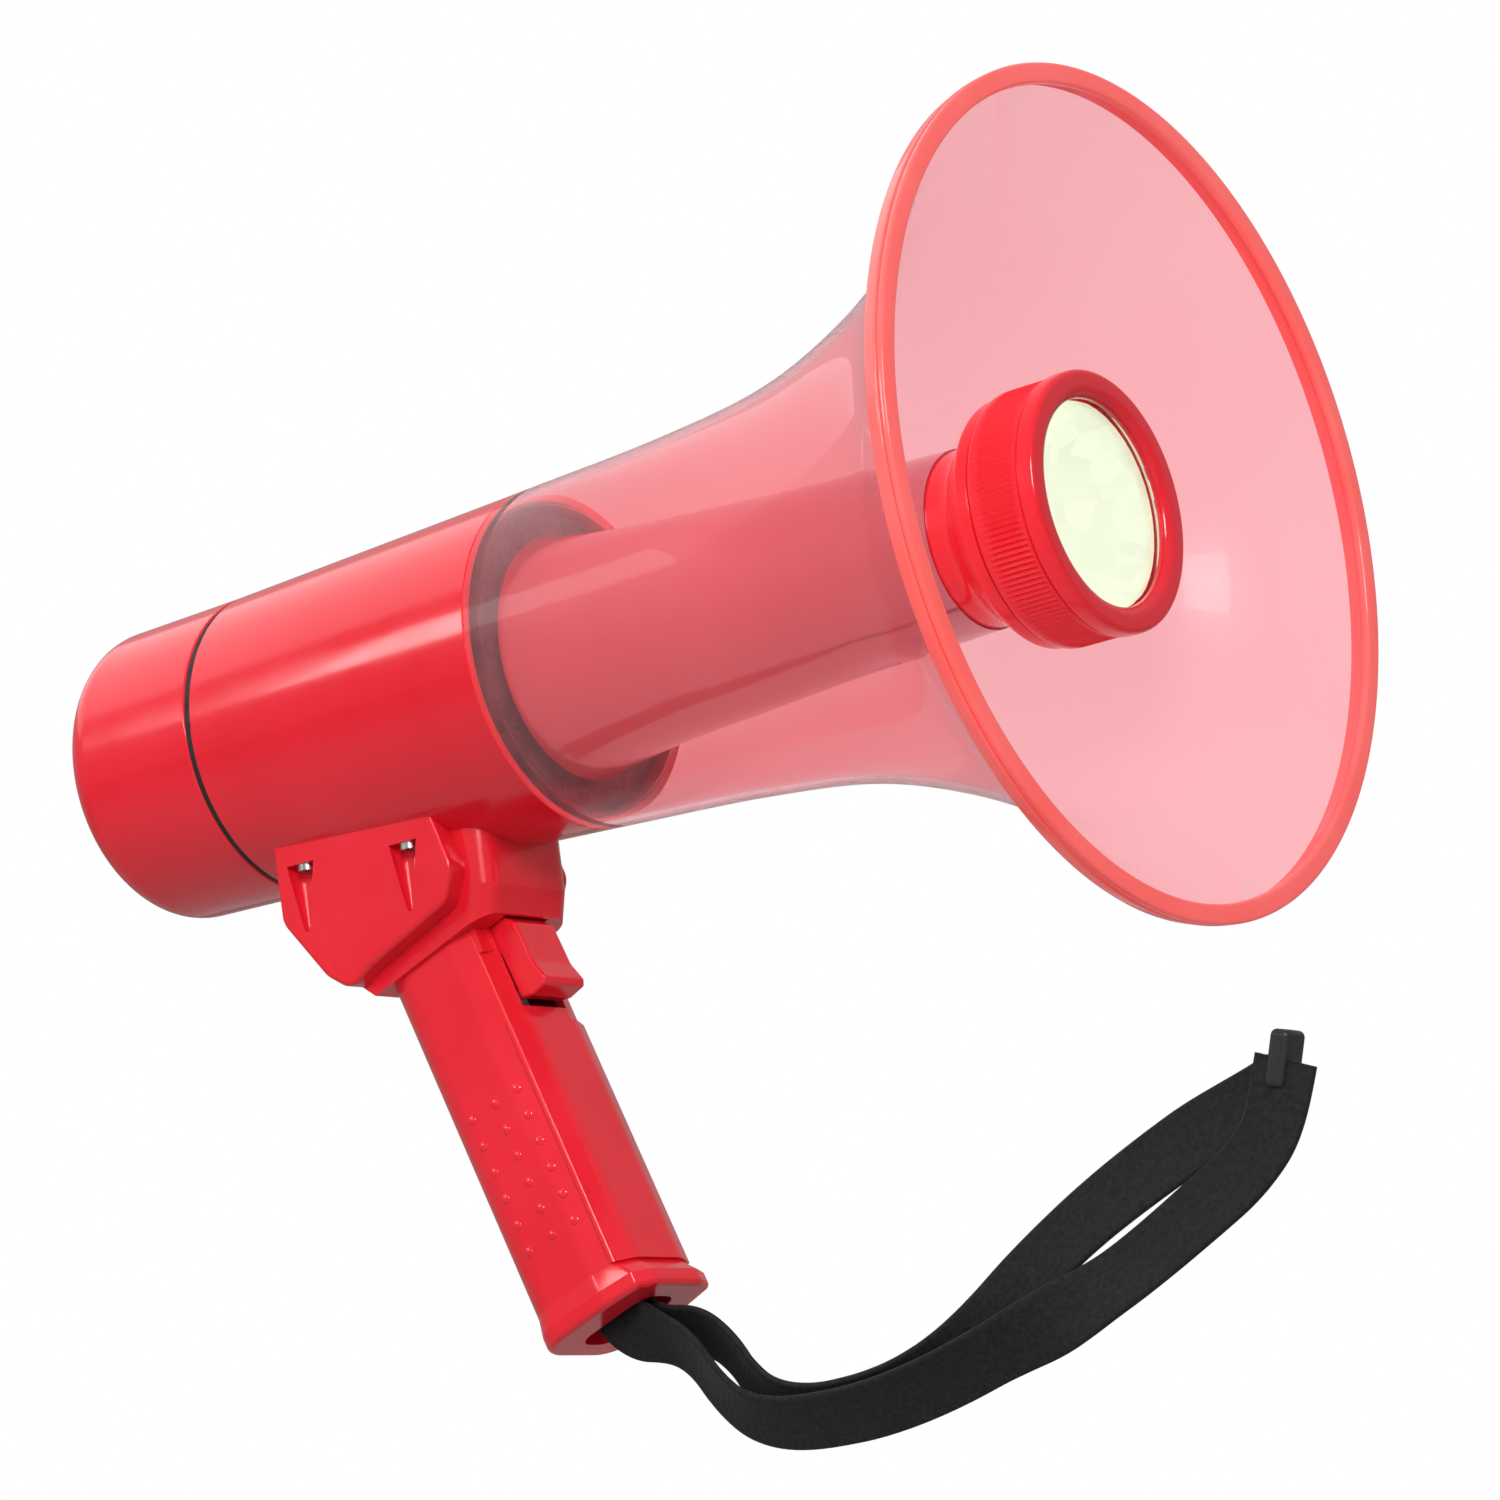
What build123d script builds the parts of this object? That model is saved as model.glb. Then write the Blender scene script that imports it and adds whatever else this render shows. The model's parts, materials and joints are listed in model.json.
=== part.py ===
from build123d import *
import math
import os

# Handheld megaphone with a clear horn, a torch in its mouth, a pistol grip and a wrist strap.
# Millimetres. Row frame: origin at the middle of the hand grip, +X towards the horn's mouth, +Z up.
# Pieces round the horn are turned about the horn's axis in the "horn frame": the same directions,
# with the origin at the centre of the mouth. Pieces of the grip are made in the "grip frame":
# +Z up the raked grip, +X to its front, origin at the row's origin.

# ---- driving dimensions -------------------------------------------------------------------------
MOUTH_X = 192.0           # mouth plane ahead of the grip's middle
AXIS_Z = 113.0            # horn axis above the grip's middle
MOUTH_R = 100.0           # outside of the mouth's rim
RIM_DEPTH = 6.0
RIM_BACK_R = 98.6         # the rim tapers to this radius at its back
RIM_INNER_R = 95.0
RIM_SEAT_R = 97.2
RIM_LIP = 2.0
BELL_WALL = 2.0
JOINT_X = -165.0          # where the bell meets the barrel
SEAM_X = -257.5           # middle of the black seal between barrel and rear cap
REAR_X = -302.0           # rear face
BARREL_FRONT_R = 42.3
BARREL_REAR_R = 38.3
WALL = 2.4
SEAL_WIDTH = 1.6
SPIGOT_LENGTH = 3.3

RAKE = 20.0               # the grip's foot leans this far forward, degrees
GRIP_FRONT = 15.0         # from the grip's axis to its front, back and side faces
GRIP_BACK = 17.0
GRIP_SIDE = 15.6
RIDGE_X = 12.9            # crisp ridge between each side of the grip and its rounded front
RIDGE_Y = 13.9
GRIP_TOP = 50.0
BOSS_REACH = 13.8         # bosses and ears run this far to each side, into the grip's wall
GRIP_BOTTOM = -41.5
FOOT_BOTTOM = -50.0
PANEL_TOP = 24.5
PANEL_THICKNESS = 1.0
PANEL_EDGE = 12.2

PLATE_HALF_WIDTH = 23.0   # saddle cheeks
CORE_HALF_WIDTH = 17.0

PIVOT = (12.5, 47.0)      # trigger pivot in the grip frame, x and z
PIN_R = 1.5
PIN_REACH = 12.8          # depth of the pin's blind hole in each shell
RUNNING_GAP = 0.05        # radial clearance of a running fit
TRIGGER_HALF_WIDTH = 7.8

STRAP_WIDTH = 16.0
STRAP_THICKNESS = 1.6
STRAP_OFFSET = 2.3        # each band's middle from the centre plane, one on each side of the bar

HORN = Pos(MOUTH_X, 0, AXIS_Z)
GRIP = Rot(0, -RAKE, 0)

nodes = {}


# ---- helpers ------------------------------------------------------------------------------------
def turned(*points, radii=None):
    """A solid turned about X from (x, radius) corners, with optional corner radii."""
    corners = [(x, 0, r) for x, r in points]
    if radii is None:
        outline = Polyline(*corners, close=True)
    else:
        outline = FilletPolyline(*corners, radius=radii, close=True)
    return revolve(make_face(outline.edges()), Axis.X, 360)


def rod(x0, x1, radius, y=0.0, z=0.0):
    """A cylinder along X."""
    return Pos((x0 + x1) / 2, y, z) * Rot(0, 90, 0) * Cylinder(radius, x1 - x0)


def block(x, y, z):
    """A box from its three (low, high) spans."""
    size = [high - low for low, high in (x, y, z)]
    centre = [(high + low) / 2 for low, high in (x, y, z)]
    return Pos(*centre) * Box(*size)


def cross_pin(x, z, radius, y0, y1):
    """A cylinder along Y."""
    return Pos(x, (y0 + y1) / 2, z) * Rot(90, 0, 0) * Cylinder(radius, y1 - y0)


def slab(points, half_width, radii=None):
    """An outline in the XZ plane, thickened to both sides of the centre plane."""
    corners = [(x, 0, z) for x, z in points]
    if radii is None:
        outline = Polyline(*corners, close=True)
    else:
        outline = FilletPolyline(*corners, radius=radii, close=True)
    return extrude(make_face(outline.edges()), amount=half_width, dir=(0, 1, 0), both=True)


def softened(shape, radius):
    """A slab with the edges of its two flat sides rounded."""
    sides = shape.faces().sort_by(Axis.Y)
    return fillet(sides[0].edges() + sides[-1].edges(), radius)


def keep(name, shape):
    """Register a node."""
    nodes[name] = shape


def barrel_radius(x):
    """Outside radius of the barrel and the rear cap's front edge at x in the horn frame."""
    slope = (BARREL_FRONT_R - BARREL_REAR_R) / (JOINT_X - SEAM_X)
    return BARREL_REAR_R + slope * (x - SEAM_X)


# ---- horn ---------------------------------------------------------------------------------------
BELL_OUTSIDE = [(JOINT_X, BARREL_FRONT_R), (-120, 44.6), (-85, 48.9), (-55, 58.6), (-30, 71.6),
                (-14, 85.6), (-RIM_LIP, RIM_SEAT_R)]
CUP_OUTSIDE = [(-164, 30.5), (-150, 27.8), (-120, 25.4), (-90, 23.4), (-60, 22.1), (-46, 21.5)]
CUP_WALL = 1.6
CUP_FLOOR = 2.0


def offset_inwards(curve, wall, count=9):
    """Points on the inside of a turned wall of even thickness."""
    inside = []
    for i in range(count):
        t = i / (count - 1)
        point = curve @ t
        along = curve % t
        inside.append((point.X + wall * along.Z, 0, point.Z - wall * along.X))
    return inside


def turned_shell(outside, wall, count=9):
    """A thin wall of even thickness turned from the spline of its outside."""
    outer = Spline(*[(x, 0, r) for x, r in outside])
    inner = Spline(*offset_inwards(outer, wall, count))
    ends = [Line(outer @ 0, inner @ 0), Line(outer @ 1, inner @ 1)]
    return revolve(make_face([outer.edge(), inner.edge()] + [e.edge() for e in ends]), Axis.X, 360)


def make_horn():
    spigot_r = barrel_radius(JOINT_X - SPIGOT_LENGTH) - WALL - 0.2
    bell = turned_shell(BELL_OUTSIDE, BELL_WALL)
    spigot_bore = spigot_r - 1.2
    spigot = turned((JOINT_X - SPIGOT_LENGTH, spigot_bore), (JOINT_X - SPIGOT_LENGTH, spigot_r),
                    (JOINT_X + 0.02, spigot_r), (JOINT_X + 0.02, BARREL_FRONT_R - 0.2),
                    (JOINT_X + 2.0, BARREL_FRONT_R - 0.2), (JOINT_X + 2.0, spigot_bore))
    beyond = turned((-RIM_LIP, 60), (-RIM_LIP, 120), (20, 120), (20, 60))
    bell = (bell + spigot) - beyond
    ring = turned((-RIM_DEPTH, RIM_SEAT_R), (-RIM_DEPTH, RIM_BACK_R), (-1.8, MOUTH_R), (0, MOUTH_R),
                  (0, RIM_INNER_R), (-RIM_LIP, RIM_INNER_R), (-RIM_LIP, RIM_SEAT_R),
                  radii=[0, 0.6, 0.9, 0.8, 0.6, 0, 0])
    keep("horn_bell", HORN * bell)
    keep("horn_rim", HORN * (ring - bell))


def make_reflex():
    throat_x0, throat_x1 = -222.0, -62.0
    throat_outer = turned((throat_x0, 0), (throat_x0, 9.6), (throat_x1, 14.4), (throat_x1, 0))
    throat_bore = turned((throat_x0 - 1, 0), (throat_x0 - 1, 7.5), (throat_x1 + 1, 12.8), (throat_x1 + 1, 0))
    flange = turned((throat_x0, 0), (throat_x0, 24), (throat_x0 + 3, 24), (throat_x0 + 3, 0))
    screw_hole = rod(throat_x0 - 3.9, throat_x0 + 5, 1.5, y=19)
    screw_circle = [Rot(45 + 90 * i, 0, 0) * screw_hole for i in range(4)]
    throat = throat_outer + flange - throat_bore
    for hole in screw_circle:
        throat -= hole
    keep("throat_tube", HORN * throat)

    front = CUP_OUTSIDE[-1]
    cup = turned_shell(CUP_OUTSIDE, CUP_WALL)
    floor = turned((front[0] - CUP_FLOOR, 2.0), (front[0] - CUP_FLOOR, front[1] - 0.6),
                   (front[0], front[1] - 0.6), (front[0], 2.0))
    vane = block((-112, -72), (-0.9, 0.9), (0, 22.4))
    cup += floor
    for angle in (90, 210, 330):
        cup += (Rot(angle, 0, 0) * vane) - throat_outer
    keep("reflex_cup", HORN * cup)

    plate_x = JOINT_X - SPIGOT_LENGTH - 0.1
    plate_r = barrel_radius(plate_x - 3) - WALL - 0.15
    plate = turned((plate_x - 3, 5), (plate_x - 3, plate_r), (plate_x, plate_r), (plate_x, 15.5),
                   (plate_x + 2.2, 13.0), (plate_x + 2.2, 5), radii=[0, 0, 0.4, 0.8, 0.5, 0])
    clear_hole = turned((throat_x0, 0), (throat_x0, 9.65), (throat_x1, 14.45), (throat_x1, 0))
    keep("duct_plate", HORN * (plate - clear_hole))


# ---- torch in the mouth ---------------------------------------------------------------------------
HEAD_R = 30.9
HEAD_BACK = -28.0
HEAD_FRONT = -9.5
LIP_BACK = -12.5
BOSS_R = 27.0
BEZEL_BORE_R = BOSS_R + RUNNING_GAP
KNURLS = 64


def make_torch():
    neck_x, neck_r = CUP_OUTSIDE[-1]
    housing = turned((neck_x, 0), (neck_x, neck_r - 0.5), (-39.5, 21.4), (-31.8, 29.4), (-28.4, 29.4),
                     (-28.4, BOSS_R), (-15.7, BOSS_R), (-15.7, 25.4), (-27.0, 25.4), (-27.0, 19.0),
                     (-34.5, 19.0), (-34.5, 0), radii=[0, 0, 9.0, 2.0, 0.4, 0, 0.4, 0, 0, 0, 0, 0])
    housing -= rod(neck_x - 1, -33, 2.0)
    keep("torch_housing", HORN * housing)

    bezel = turned((HEAD_BACK, BEZEL_BORE_R), (HEAD_BACK, HEAD_R - 0.6), (-14.5, HEAD_R - 0.6),
                   (-13.5, HEAD_R), (HEAD_FRONT, HEAD_R), (HEAD_FRONT, 23.8), (LIP_BACK, 24.6),
                   (LIP_BACK, BEZEL_BORE_R), radii=[0, 1.2, 0.4, 0.5, 1.5, 0.8, 0, 0])
    groove = block((HEAD_BACK + 1.8, -15.0), (-0.55, 0.55), (HEAD_R - 1.3, HEAD_R + 1))
    grooves = [Rot(360 / KNURLS * i, 0, 0) * groove for i in range(KNURLS)]
    keep("torch_bezel", HORN * (bezel - grooves))

    keep("torch_lens", HORN * turned((-15.3, 0), (-15.3, 26.0), (-13.1, 26.0), (-13.1, 24.0), (-12.5, 20.0),
                                     (-12.1, 0)))
    keep("torch_reflector", HORN * turned((-15.5, 24.9), (-15.5, 23.9), (-19.1, 21.6), (-24.1, 17.2),
                                          (-28.6, 10.5), (-30.7, 5.0), (-31.5, 5.0), (-31.5, 6.4),
                                          (-29.5, 11.4), (-25.0, 18.1), (-20.0, 22.6), (-17.1, 24.9)))
    keep("led_board", HORN * turned((-33.3, 0), (-33.3, 18.6), (-31.9, 18.6), (-31.9, 0)))
    emitter = block((-31.9, -30.7), (-2.6, 2.6), (-2.6, 2.6)) + turned(
        (-30.8, 0), (-30.8, 2.2), (-29.7, 2.0), (-28.9, 1.2), (-28.6, 0))
    keep("led_emitter", HORN * emitter)
    keep("led_heat_disc", HORN * turned((-34.5, 2.2), (-34.5, 18.8), (-33.3, 18.8), (-33.3, 2.2)))


# ---- barrel and driver ------------------------------------------------------------------------------
SADDLE_SCREWS = [(-47.5, 20.4), (-14.8, 20.4), (-47.5, -20.4), (-14.8, -20.4)]   # row frame x, y
SHANK_R = 1.4


def barrel_skin_z(x, y):
    """Height in the row frame of the barrel's underside at row x, y."""
    return AXIS_Z - math.sqrt(barrel_radius(x - MOUTH_X) ** 2 - y * y)


def barrel_body():
    """The barrel's full outer volume, longer than the barrel, for cutting the saddle's seat."""
    x0, x1 = SEAM_X - 10, JOINT_X + 10
    return HORN * turned((x0, 0), (x0, barrel_radius(x0)), (x1, barrel_radius(x1)), (x1, 0))


def upright(x, y, z0, z1, radius):
    return Pos(x, y, (z0 + z1) / 2) * Cylinder(radius, z1 - z0)


def make_barrel():
    x0, x1 = SEAM_X + SEAL_WIDTH / 2, JOINT_X
    r0, r1 = barrel_radius(x0), barrel_radius(x1)
    wall = turned((x0, r0 - WALL), (x0, r0), (x1, r1), (x1, r1 - WALL), radii=[0, 0.5, 0.5, 0])
    solid = HORN * turned((x0, 0), (x0, r0 - 0.5), (x1, r1 - 0.5), (x1, 0))
    barrel = HORN * wall
    for x, y in SADDLE_SCREWS:
        boss = upright(x, y, 70, 85.5, 3.2) & solid
        barrel += boss
    for x, y in SADDLE_SCREWS:
        barrel -= upright(x, y, 60, 85, SHANK_R)
    barrel -= upright(-30, 0, 60, 90, 4.0)
    keep("barrel", barrel)
    keep("seal_ring", HORN * turned((SEAM_X - SEAL_WIDTH / 2, 35.9), (SEAM_X - SEAL_WIDTH / 2, 37.9),
                                    (SEAM_X + SEAL_WIDTH / 2, 37.9), (SEAM_X + SEAL_WIDTH / 2, 35.9)))


def make_driver():
    mount = turned((-226, 17), (-226, 36.9), (-222, 36.9), (-222, 17))
    bolts = []
    for i in range(4):
        turn = Rot(45 + 90 * i, 0, 0)
        mount -= turn * rod(-227, -221, 1.5, y=19)
        bolts.append(HORN * turn * (rod(-225.9, -219.0, 1.5, y=19) + rod(-219.0, -217.4, 2.7, y=19)))
    keep("driver_mount", HORN * mount)
    keep("driver_bolts", Compound(children=bolts))
    keep("magnet", HORN * turned((-242, 14.0), (-242, 30.0), (-230, 30.0), (-230, 14.0), radii=0.6))
    keep("top_plate", HORN * turned((-230, 11.2), (-230, 28.5), (-226, 28.5), (-226, 11.2)))
    keep("back_plate", HORN * turned((-246, 0), (-246, 28.5), (-242, 28.5), (-242, 9.8), (-226.5, 9.8),
                                     (-226.5, 0)))
    keep("voice_coil", HORN * turned((-233, 10.2), (-233, 10.8), (-225, 10.8), (-225, 10.2)))
    keep("diaphragm", HORN * turned((-225.0, 10.2), (-225.0, 10.9), (-225.4, 14.0), (-225.0, 16.8),
                                    (-224.4, 16.8), (-224.8, 14.0), (-224.4, 10.9), (-222.9, 6.0),
                                    (-222.5, 0), (-223.1, 0), (-223.5, 6.0)))


# ---- rear cap and its controls ----------------------------------------------------------------------
FACE_RING_R = 19.5
KNOB_ANGLE = 90
BUTTON_ANGLES = {"siren_button": 200, "music_button": 236, "torch_button": 272}
AUX_ANGLE = 318
CHARGE_ANGLE = 0
BUTTON_R = 3.0
CAP_SCREW_SPOTS = [(25.6, 45), (25.6, 160), (25.6, 339)]


def around(angle, radius=FACE_RING_R):
    """Y and Z of a spot on the rear face, at an angle seen from behind the megaphone."""
    a = math.radians(angle)
    return -radius * math.cos(a), radius * math.sin(a)


def make_rear_cap():
    front, back = SEAM_X - SEAL_WIDTH / 2, REAR_X
    outer = turned((front, 0), (front, barrel_radius(front)), (back, 37.2), (back, 0), radii=[0, 0.5, 9.0, 0])
    inner = turned((front + 1, 0), (front + 1, 35.8), (back + WALL, 34.8), (back + WALL, 0),
                   radii=[0, 0, 6.6, 0])
    spigot = turned((front - 2, 33.6), (front - 2, 35.8), (front + 10, 35.8), (front + 10, 33.6))
    cap = outer - inner + spigot
    for y_side in (-1, 1):
        rail = block((back + 1, -264), (22.2, 24.0), (-21.5, -15.5))
        if y_side < 0:
            rail = mirror(rail, Plane.XZ)
        cap += rail
    cap -= turned((back - 1, 0), (back - 1, 12.7), (back + 1.4, 12.7), (back + 1.4, 0))
    cap -= rod(back - 1, back + 5, 9.0)
    knob_y, knob_z = around(KNOB_ANGLE)
    cap -= rod(back - 1, back + 5, 4.2, knob_y, knob_z)
    for angle in BUTTON_ANGLES.values():
        y, z = around(angle)
        cap -= rod(back - 1, back + 5, BUTTON_R + 0.3, y, z)
    aux_y, aux_z = around(AUX_ANGLE)
    cap -= rod(back - 1, back + 5, 3.6, aux_y, aux_z)
    charge_y, charge_z = around(CHARGE_ANGLE)
    cap -= rod(back - 1, back + 5, 4.6, charge_y, charge_z)
    screws = []
    for radius, angle in CAP_SCREW_SPOTS:
        y, z = around(angle, radius)
        cap += rod(back + 1.6, back + 9, 2.8, y, z)
        cap -= rod(back - 1, back + 1.3, 2.6, y, z)
        cap -= rod(back - 1, back + 7.5, 1.3, y, z)
        head = rod(back + 0.1, back + 1.3, 2.5, y, z)
        head -= block((back, back + 0.7), (y - 2, y + 2), (z - 0.35, z + 0.35))
        screws.append(HORN * (head + rod(back + 1.3, back + 7.3, 1.3, y, z)))
    keep("rear_cap", HORN * cap)
    keep("cap_screws", Compound(children=screws))


def make_microphone():
    back = REAR_X
    grille = turned((back - 0.4, 0), (back - 0.4, 12.6), (back + 1.4, 12.6), (back + 1.4, 0),
                    radii=[0, 0.7, 0, 0])
    for i in range(-4, 5):
        half = math.sqrt(10.4 ** 2 - (2.3 * i) ** 2)
        grille -= block((back - 2, back + 2), (-half, half), (2.3 * i - 0.6, 2.3 * i + 0.6))
    keep("mic_grille", HORN * grille)
    boot = turned((back + 1.5, 4.9), (back + 1.5, 8.8), (back + 8.0, 8.8), (back + 8.0, 4.9),
                  radii=[0, 0.5, 0.5, 0])
    capsule = turned((back + 2.2, 0), (back + 2.2, 4.85), (back + 7.4, 4.85), (back + 7.4, 0),
                     radii=[0, 0.3, 0.3, 0])
    keep("mic_boot", HORN * boot)
    keep("mic_capsule", HORN * capsule)


def make_controls():
    back = REAR_X
    y, z = around(KNOB_ANGLE)
    knob = turned((back - 10.5, 0), (back - 10.5, 5.6), (back - 1.2, 6.5), (back - 1.2, 0),
                  radii=[0, 0.9, 0.4, 0])
    flute = rod(back - 12, back - 2.6, 0.55, y=6.5)
    knob -= [Rot(20 * i, 0, 0) * flute for i in range(18)]
    knob -= block((back - 10.6, back - 10.0), (-0.5, 0.5), (1.5, 5.0))
    knob += rod(back - 2, back + 7.5, 3.0)
    keep("volume_knob", HORN * Pos(0, y, z) * knob)
    pot = rod(back - 0.7, back + 4.5, 4.15) + block((back + 2.5, back + 9), (-6, 6), (-6, 6))
    pot -= rod(back - 1, back + 8.0, 3.0 + RUNNING_GAP)
    keep("volume_pot", HORN * Pos(0, y, z) * pot)

    board_x = back + 12.0
    switches = []
    for name, angle in BUTTON_ANGLES.items():
        y, z = around(angle)
        button = turned((back - 1.6, 0), (back - 1.6, BUTTON_R), (back + 2.75, BUTTON_R), (back + 2.75, 4.0),
                        (back + 3.8, 4.0), (back + 3.8, 1.2), (back + 6.6, 1.2), (back + 6.6, 0),
                        radii=[0, 0.8, 0, 0, 0, 0, 0, 0])
        keep(name, HORN * Pos(0, y, z) * button)
        switch = block((board_x - 3.4, board_x), (y - 3, y + 3), (z - 3, z + 3))
        switches.append(HORN * (switch + rod(board_x - 4.1, board_x, 1.5, y, z)))
    keep("button_switches", Compound(children=switches))
    board = turned((board_x, 0), (board_x, 31.0), (board_x + 1.6, 31.0), (board_x + 1.6, 0))
    board -= block((board_x - 1, board_x + 3), (-40, 40), (-40, -14.8))
    for radius, angle in CAP_SCREW_SPOTS:
        sy, sz = around(angle, radius)
        board -= rod(board_x - 1, board_x + 3, 3.2, sy, sz)
    aux_y, aux_z = around(AUX_ANGLE)
    board -= block((board_x - 1, board_x + 3), (aux_y - 4.4, aux_y + 4.4), (aux_z - 3.9, aux_z + 3.9))
    keep("control_board", HORN * board)

    y, z = around(AUX_ANGLE)
    aux = rod(back - 0.3, back + 3, 3.5, y, z)
    aux += block((back + 2.6, back + 14.5), (y - 3.9, y + 3.9), (z - 3.4, z + 3.4))
    aux -= rod(back - 1, back + 11.7, 1.8, y, z)
    keep("aux_socket", HORN * aux)
    y, z = around(CHARGE_ANGLE)
    jack = rod(back - 0.3, back + 3, 4.5, y, z)
    jack += block((back + 2.6, back + 11.5), (y - 4.8, y + 4.8), (z - 5.5, z + 5.5))
    jack -= rod(back - 1, back + 9.5, 2.9, y, z)
    jack += rod(back + 1.5, back + 10, 1.0, y, z)
    keep("charge_socket", HORN * jack)


def make_amplifier():
    top = -18.0
    board = block((-286, -250), (-22, 22), (top - 1.6, top))
    keep("amplifier_board", HORN * board)
    sink = block((-262, -252), (-18, 18), (top, top + 3))
    for i in range(-5, 6):
        sink += block((-262, -252), (3.2 * i - 0.6, 3.2 * i + 0.6), (top + 3, top + 12))
    keep("heat_sink", HORN * sink)
    cans = [HORN * Pos(-272, y, top + 5.5) * Cylinder(4.0, 11.0) for y in (-12, 0, 12)]
    keep("capacitors", Compound(children=cans))


# ---- pistol grip ------------------------------------------------------------------------------------
CELL_X = -3.5
CELL_R = 9.2
CELL_LOW, CELL_HIGH = -36.2, 28.8
GRIP_SCREWS = [(9.6, -30.0), (9.6, 10.0), (-9.0, 44.5)]


def grip_section(grow=0.0, nose=0.0):
    """Cross-section of the grip in its XY plane, grown all round and by the nose at its front only."""
    front, back, side = GRIP_FRONT + grow + nose, -GRIP_BACK - grow, GRIP_SIDE + grow
    half = [(front, 8.5), (RIDGE_X + 0.6 * grow + nose, RIDGE_Y + 0.8 * grow), (6.5, side), (back, side)]
    other_half = [(x, -y) for x, y in reversed(half)]
    radii = [8, 1.2, 8, 10]
    outline = FilletPolyline(*half, *other_half, radius=radii + radii[::-1], close=True)
    return make_face(outline.edges())


def bore_section(wall):
    """The grip's section less a wall, with plain round corners."""
    outline = FilletPolyline((GRIP_FRONT - wall, GRIP_SIDE - wall), (GRIP_FRONT - wall, wall - GRIP_SIDE),
                             (wall - GRIP_BACK, wall - GRIP_SIDE), (wall - GRIP_BACK, GRIP_SIDE - wall),
                             radius=[7 - wall, 7 - wall, 10 - wall, 10 - wall], close=True)
    return make_face(outline.edges())


def prism(section, low, high):
    return Pos(0, 0, low) * extrude(section, amount=high - low)


def make_grip():
    body = prism(grip_section(), GRIP_BOTTOM, GRIP_TOP)
    body -= prism(bore_section(WALL), GRIP_BOTTOM - 1, GRIP_TOP + 1)
    body -= block((10, 30), (-8.3, 8.3), (28.2, GRIP_TOP + 1))
    rib = block((2.4, 4.0), (-BOSS_REACH, BOSS_REACH), (37.4, 43))
    ear = block((9.5, 14.4), (8.3, BOSS_REACH), (43.5, GRIP_TOP))
    bosses = [cross_pin(x, z, 2.5, -BOSS_REACH, BOSS_REACH) for x, z in GRIP_SCREWS]
    body += rib
    body += ear
    body += mirror(ear, Plane.XZ)
    for boss in bosses:
        body += boss
    body -= cross_pin(*PIVOT, PIN_R, -PIN_REACH, PIN_REACH)
    screws = []
    for x, z in GRIP_SCREWS:
        body -= cross_pin(x, z, 1.3, -10.6, GRIP_SIDE + 1)
        body -= cross_pin(x, z, 2.5, GRIP_SIDE - 1.6, GRIP_SIDE + 1)
        head = cross_pin(x, z, 2.4, GRIP_SIDE - 1.6, GRIP_SIDE - 0.3)
        head -= block((x - 1.8, x + 1.8), (GRIP_SIDE - 0.9, GRIP_SIDE), (z - 0.35, z + 0.35))
        head -= block((x - 0.35, x + 0.35), (GRIP_SIDE - 0.9, GRIP_SIDE), (z - 1.8, z + 1.8))
        screws.append(GRIP * (head + cross_pin(x, z, 1.3, -10.4, GRIP_SIDE - 1.6)))
    keep("grip_near_shell", GRIP * (body & block((-40, 40), (-40, 0), (-80, 80))))
    keep("grip_far_shell", GRIP * (body & block((-40, 40), (0, 40), (-80, 80))))
    keep("grip_screws", Compound(children=screws))

    panel = prism(grip_section(PANEL_THICKNESS), GRIP_BOTTOM, PANEL_TOP)
    panel -= prism(grip_section(), GRIP_BOTTOM - 1, PANEL_TOP + 1)
    panel &= block((PANEL_EDGE, 40), (-40, 40), (-80, 80))
    rear_edges = panel.edges().filter_by(Axis.Z).group_by(Axis.X)[0]
    panel = fillet(rear_edges.sort_by(lambda edge: abs(edge.center().Y))[-2:], 0.4)
    keep("grip_front_panel", GRIP * panel)


def make_trigger():
    outline = [(9.2, 50.2), (18.9, 50.8), (21.8, 47.5), (22.0, 36.5), (23.6, 31.2), (22.8, 29.6),
               (18.0, 29.2), (14.6, 30.2), (14.3, 43.0), (9.2, 43.8)]
    trigger = slab(outline, TRIGGER_HALF_WIDTH, radii=[2.9, 2.0, 2.0, 6.0, 0.9, 0.9, 1.0, 0.9, 1.5, 2.5])
    trigger = softened(trigger, 0.8)
    hollow = slab([(15.2, 46), (19.7, 46), (19.9, 36), (20.3, 33), (19.2, 31.6), (15.2, 31.6)],
                  TRIGGER_HALF_WIDTH - 2)
    trigger -= hollow & block((15.2, 30), (-5.8, 5.8), (31, 46))
    trigger += block((12.4, 15.5), (-2, 2), (32.4, 35.0))
    trigger -= cross_pin(*PIVOT, PIN_R + RUNNING_GAP, -20, 20)
    keep("trigger", GRIP * trigger)
    keep("trigger_pin", GRIP * cross_pin(*PIVOT, PIN_R, 0.1 - PIN_REACH, PIN_REACH - 0.1))
    coil = Helix(pitch=1.9, height=9.2, radius=2.0)
    wire = sweep(Plane(coil @ 0, z_dir=coil % 0) * Circle(0.35), path=coil, is_frenet=True)
    keep("trigger_spring", GRIP * Pos(4.45, 0, 40.2) * Rot(0, 90, 0) * wire)
    switch = block((-1.0, 9.0), (-3.2, 3.2), (29.8, 36.0)) + rod(9.0, 10.4, 1.2, z=33.6)
    for x in (-0.2, 4.0, 8.2):
        switch += block((x - 0.4, x + 0.4), (-1.6, 1.6), (36.0, 36.9))
    keep("trigger_switch", GRIP * switch)


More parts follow.
